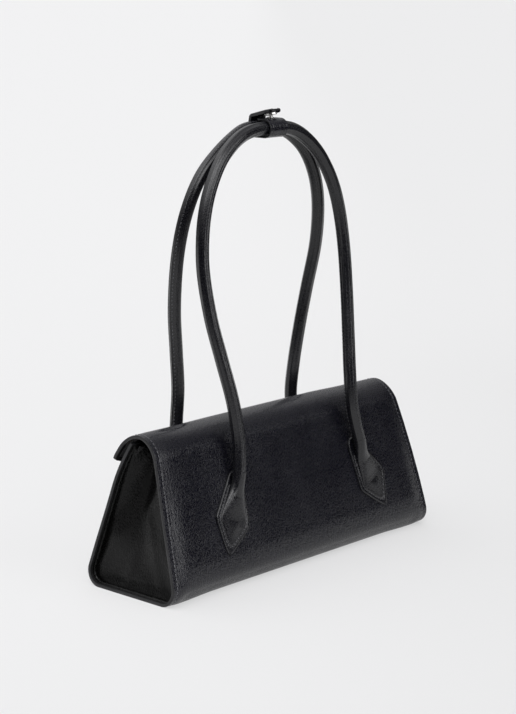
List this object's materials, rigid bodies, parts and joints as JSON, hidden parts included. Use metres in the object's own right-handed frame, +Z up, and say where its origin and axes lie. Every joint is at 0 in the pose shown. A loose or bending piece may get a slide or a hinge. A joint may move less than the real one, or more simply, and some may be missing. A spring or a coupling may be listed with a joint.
{
  "type": "shoulder bag",
  "caption": "Structured leather shoulder bag with a wrap-over flap, inset gussets, two rolled handles on diamond tabs and a keeper strap.",
  "frame": {"origin": "middle of the base, on the surface that the bag stands on", "axes": "+X along the bag, -Y the side with the front handle, where the flap is joined, +Z up"},
  "size_m": [0.3, 0.0904, 0.3476],
  "materials": {
    "pebbled_leather": "black pebbled grain, semi-gloss, painted edges",
    "gusset_leather": "black pebbled grain, softer and duller",
    "handle_leather": "black smooth rolled leather, semi-gloss",
    "lining_cloth": "plain black woven lining",
    "fibre_board": "stiffening board, not seen",
    "rope_core": "twisted cord filler, not seen",
    "polished_steel": "bright plated steel"
  },
  "bodies": {
    "bag": {"outer_wrap": "pebbled_leather", "gusset_left": "gusset_leather", "gusset_right": "gusset_leather", "front_board": "fibre_board", "rear_board": "fibre_board", "base_board": "fibre_board", "lining_wrap": "lining_cloth", "lining_gusset_left": "lining_cloth", "lining_gusset_right": "lining_cloth", "wall_magnet_left": "polished_steel", "wall_magnet_right": "polished_steel", "front_tab_left": "handle_leather", "front_tab_right": "handle_leather", "rear_tab_left": "handle_leather", "rear_tab_right": "handle_leather"},
    "flap": {"flap_leather": "pebbled_leather", "flap_board": "fibre_board", "flap_lining": "lining_cloth", "flap_magnet_left": "polished_steel", "flap_magnet_right": "polished_steel"},
    "front_handle": {"front_handle_cover": "handle_leather", "front_handle_core": "rope_core", "keeper_band": "handle_leather", "snap_stud": "polished_steel"},
    "rear_handle": {"rear_handle_cover": "handle_leather", "rear_handle_core": "rope_core"},
    "keeper_tab": {"keeper_tab": "handle_leather", "snap_socket": "polished_steel"}
  },
  "joints": [
    {"name": "flap_hinge", "type": "hinge", "parent": "bag", "child": "flap", "pos_m": [0, -0.01285, 0.11271], "axis": [1, 0, 0], "range_deg": [0, 95]},
    {"name": "front_handle_swing", "type": "hinge", "parent": "bag", "child": "front_handle", "pos_m": [0, -0.03837, 0.084], "axis": [1, 0, 0], "range_deg": [0, 110]},
    {"name": "rear_handle_swing", "type": "hinge", "parent": "bag", "child": "rear_handle", "pos_m": [0, 0.03709, 0.084], "axis": [-1, 0, 0], "range_deg": [0, 110]},
    {"name": "keeper_opening", "type": "hinge", "parent": "front_handle", "child": "keeper_tab", "pos_m": [0.004, 0.0036, 0.3265], "axis": [-1, 0, 0], "range_deg": [0, 100]}
  ]
}
